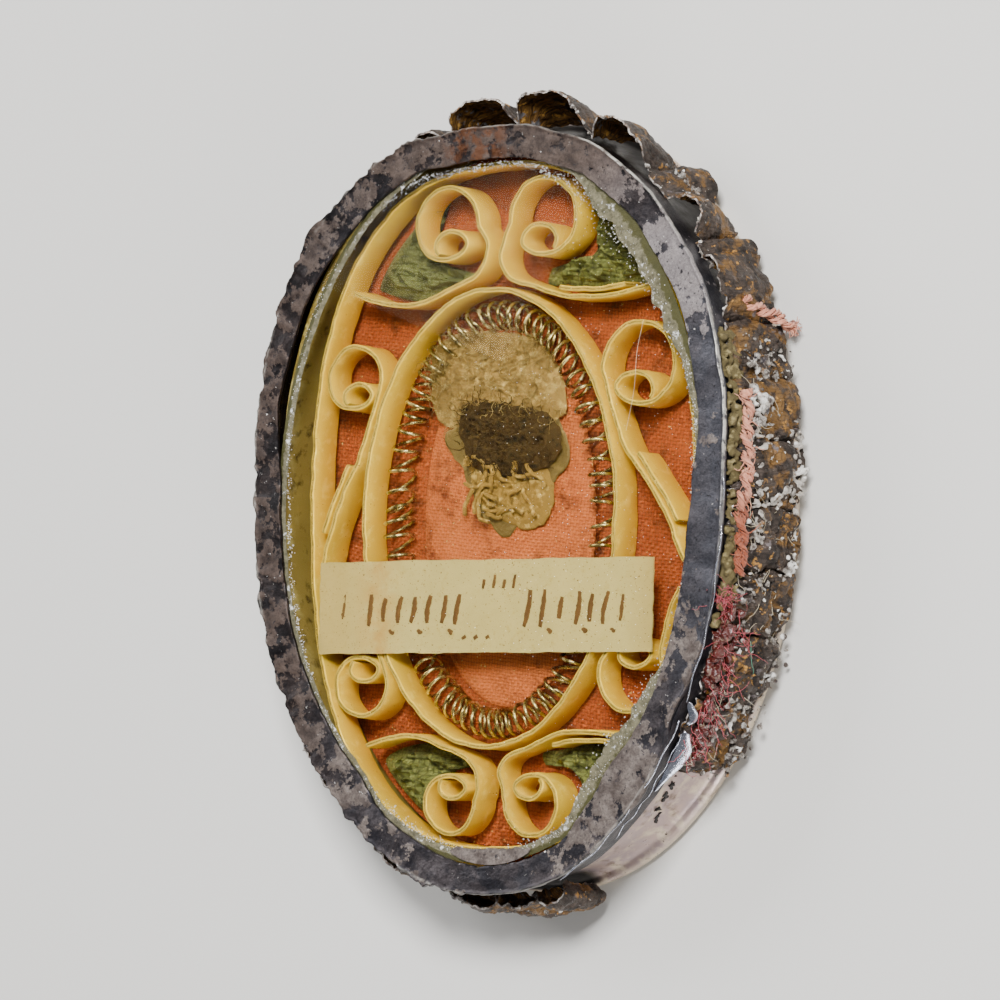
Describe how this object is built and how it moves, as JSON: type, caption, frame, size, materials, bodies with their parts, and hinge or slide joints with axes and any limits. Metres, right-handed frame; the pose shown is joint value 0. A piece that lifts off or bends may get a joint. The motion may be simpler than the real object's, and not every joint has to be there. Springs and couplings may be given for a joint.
{
  "type": "reliquary capsule",
  "caption": "small oval glazed silver capsule holding a relic in gilt paper scrollwork over red silk, with a paper label",
  "frame": {"origin": "middle of the back's flat underside, on which the capsule lies", "axes": "+X to the right of the paper label, +Y to the top of the capsule, +Z out of the glass"},
  "size_m": [0.0343, 0.0443, 0.0071],
  "materials": {
    "case_silver": "worn silver with a pearly grey patina",
    "bezel_silver": "blackened tarnished silver",
    "glass": "old clear glass with dust",
    "red_silk": "faded orange-red silk",
    "green_silk": "faded green silk",
    "gilt_paper": "gilt-edged paper strip",
    "coil_wire": "bright silver-gilt coiled wire",
    "scrap_paper": "brown old paper",
    "relic": "dark brown dry fibre",
    "label_paper": "cream laid paper with brown ink strokes",
    "metal_braid": "corroded silver-gilt braid",
    "cord_silk": "pink twisted silk",
    "red_wax": "dark red sealing wax"
  },
  "bodies": {
    "root": {"case_shell": "case_silver", "front_bezel": "bezel_silver", "glass_pane": "glass", "silk_ground": "red_silk", "medallion_silk": "red_silk", "green_silk_upper_left": "green_silk", "green_silk_upper_right": "green_silk", "green_silk_lower_left": "green_silk", "green_silk_lower_right": "green_silk", "border_strip": "gilt_paper", "medallion_strip": "gilt_paper", "scroll_top_left": "gilt_paper", "scroll_top_right": "gilt_paper", "scroll_upper_left": "gilt_paper", "scroll_upper_right": "gilt_paper", "scroll_lower_left": "gilt_paper", "scroll_lower_right": "gilt_paper", "scroll_bottom_left": "gilt_paper", "scroll_bottom_right": "gilt_paper", "filler_strip_right": "gilt_paper", "filler_strip_left": "gilt_paper", "filler_strip_top": "gilt_paper", "filler_strip_bottom": "gilt_paper", "wire_coil": "coil_wire", "paper_scrap": "scrap_paper", "leaf_scrap": "scrap_paper", "relic": "relic", "paper_label": "label_paper", "pleated_braid": "metal_braid", "silk_cord": "cord_silk", "silk_cord_end": "cord_silk", "wax_remains": "red_wax"}
  },
  "joints": []
}
